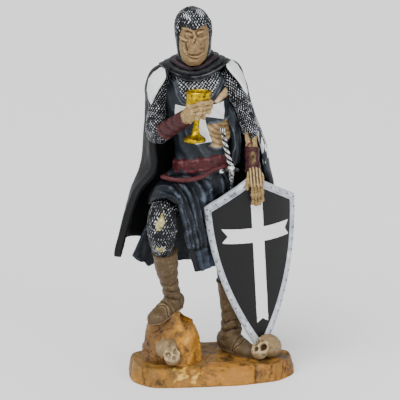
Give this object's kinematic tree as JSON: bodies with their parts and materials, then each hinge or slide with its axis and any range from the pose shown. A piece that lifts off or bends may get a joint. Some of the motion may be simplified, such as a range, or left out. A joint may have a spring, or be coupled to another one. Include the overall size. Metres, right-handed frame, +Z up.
{
  "type": "knight statuette",
  "caption": "Painted cast-resin statuette of a skeleton knight with one foot on a rock, a goblet before the chest and a hand on a tall shield; stands on its plinth as an ornament.",
  "frame": {"origin": "middle of the plinth's underside", "axes": "+Z up, the front of the figure faces -Y, +X to the viewer's right"},
  "size_m": [0.1167, 0.0719, 0.2388],
  "materials": {
    "painted_casting": "hand-painted cast resin, satin varnish",
    "painted_shield": "hand-painted cast resin, satin varnish"
  },
  "bodies": {
    "root": {"knight_on_plinth": "painted_casting", "shield": "painted_shield"}
  },
  "joints": []
}
